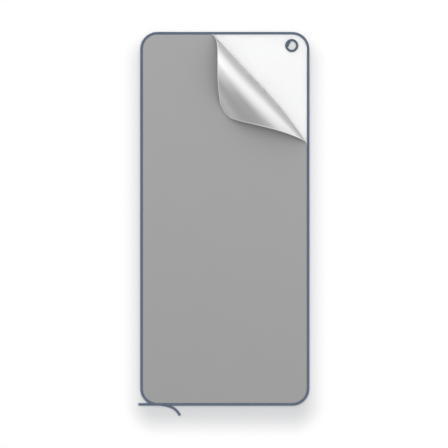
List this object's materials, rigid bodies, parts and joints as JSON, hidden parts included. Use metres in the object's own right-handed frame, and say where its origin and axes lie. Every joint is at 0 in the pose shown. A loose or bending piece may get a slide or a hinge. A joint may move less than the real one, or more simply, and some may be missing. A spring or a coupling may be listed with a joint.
{
  "type": "phone screen protector",
  "caption": "Clear glass phone screen protector with a slate edge strip, a lined camera opening and a grey peel-off film that is rolled back at its top right corner.",
  "frame": {"origin": "middle of the protector's outline, on its flat underside", "axes": "+Y along the protector towards the top of the phone, +Z away from the screen, +X to the right seen from above"},
  "size_m": [0.0723, 0.1624, 0.0091],
  "materials": {
    "glass": "clear, polished",
    "edge_strip": "slate blue, satin",
    "camera_ring": "slate blue, satin",
    "cover_film": "matte grey above, silver below"
  },
  "bodies": {
    "root": {"glass_sheet": "glass", "edge_strip": "edge_strip", "camera_ring": "camera_ring", "cover_film": "cover_film"}
  },
  "joints": []
}
